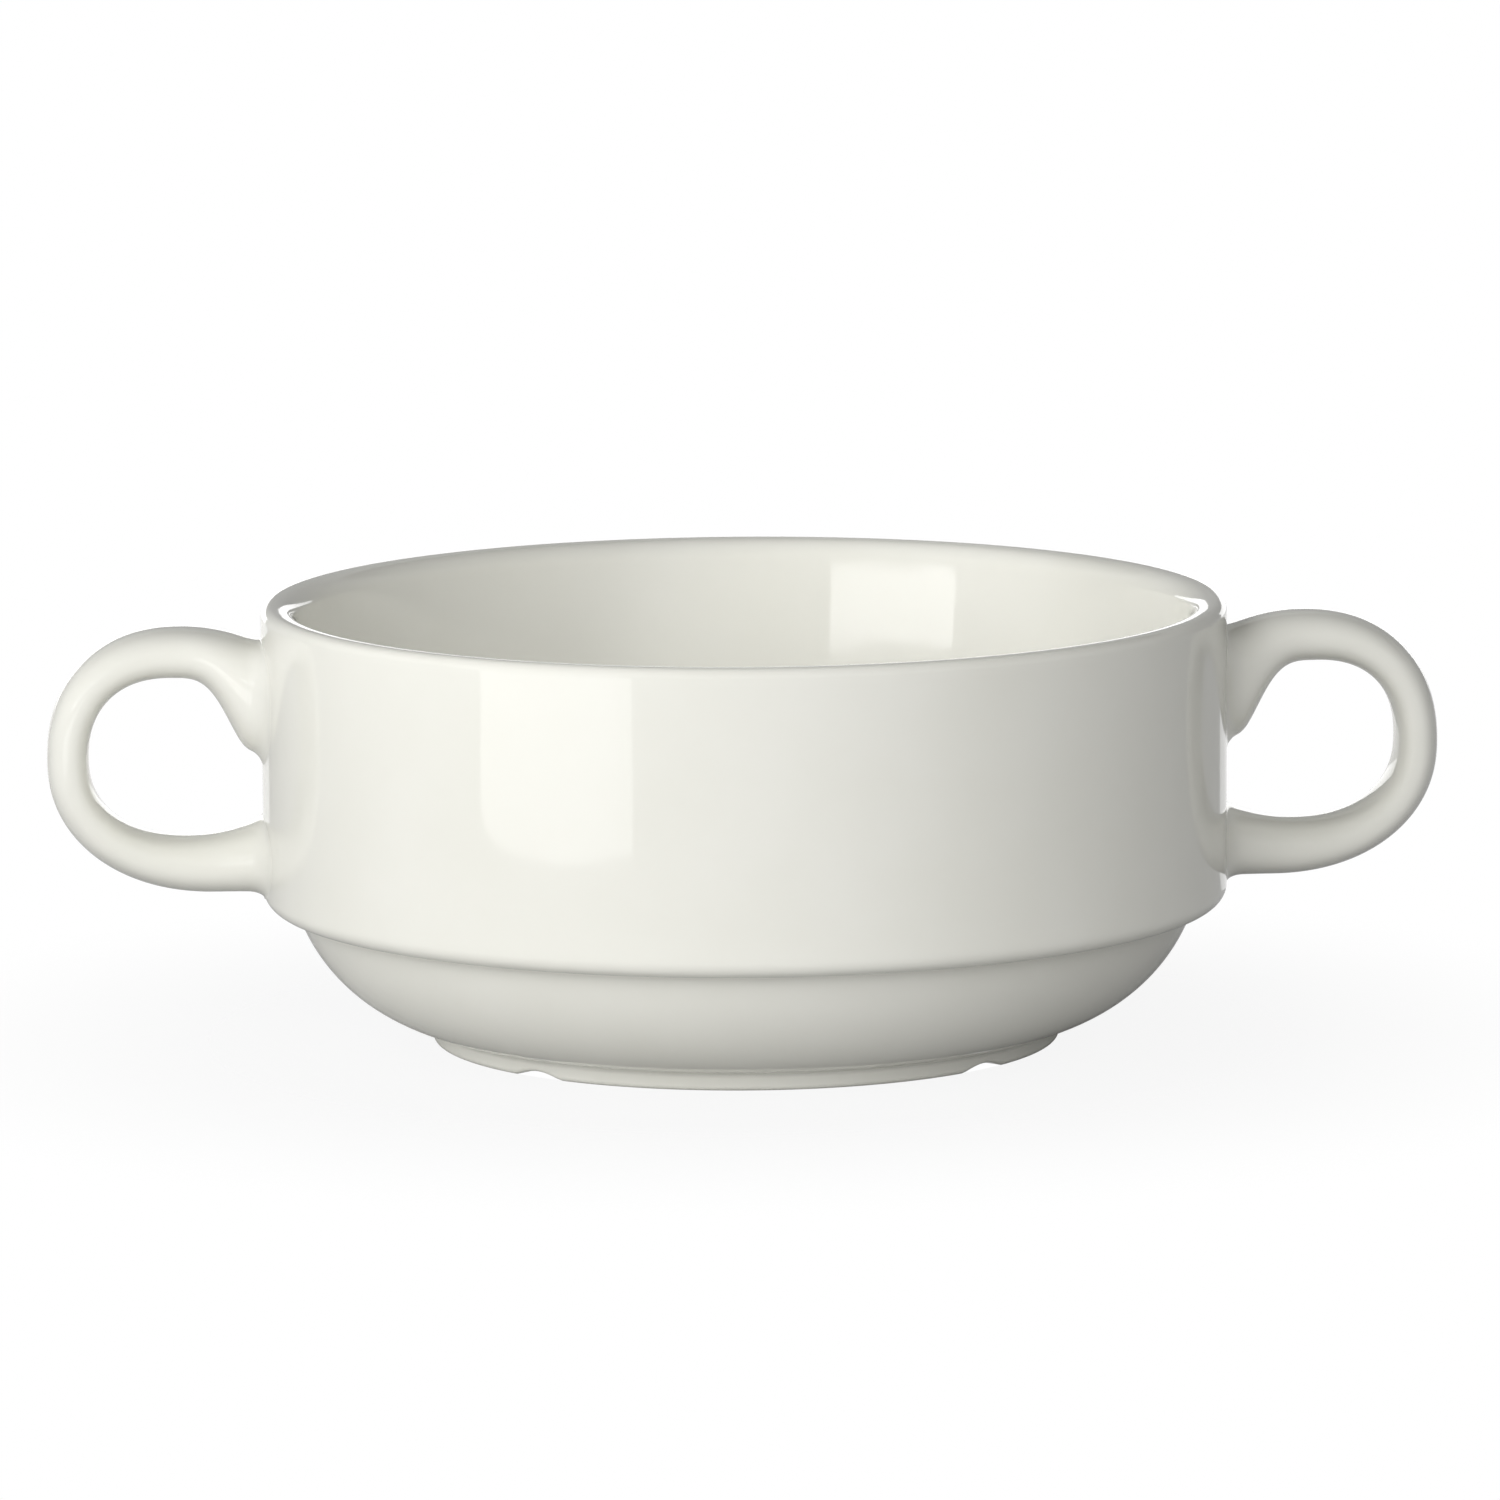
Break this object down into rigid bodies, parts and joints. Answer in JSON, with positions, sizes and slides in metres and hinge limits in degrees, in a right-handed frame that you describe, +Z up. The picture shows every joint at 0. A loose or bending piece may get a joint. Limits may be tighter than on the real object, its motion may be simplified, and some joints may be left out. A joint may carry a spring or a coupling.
{
  "type": "lug soup bowl",
  "caption": "Straight-sided soup bowl with a rounded lower body, a stacking step, a low notched foot ring and a loop handle on each side for lifting.",
  "frame": {"origin": "middle of the foot ring, on the surface that the bowl stands on", "axes": "+Z up along the bowl's axis, +X through the right handle, +Y away from the front of the bowl"},
  "size_m": [0.156, 0.108, 0.0494],
  "materials": {
    "bowl_glaze": "glossy warm white glaze, bare bearing face under the foot ring",
    "handle_glaze": "glossy warm white glaze",
    "slip_glaze": "glossy warm white glaze, pooled a little in the hollow"
  },
  "bodies": {
    "root": {"bowl_body": "bowl_glaze", "left_handle": "handle_glaze", "right_handle": "handle_glaze", "left_upper_slip_joint": "slip_glaze", "left_lower_slip_joint": "slip_glaze", "right_upper_slip_joint": "slip_glaze", "right_lower_slip_joint": "slip_glaze"}
  },
  "joints": []
}
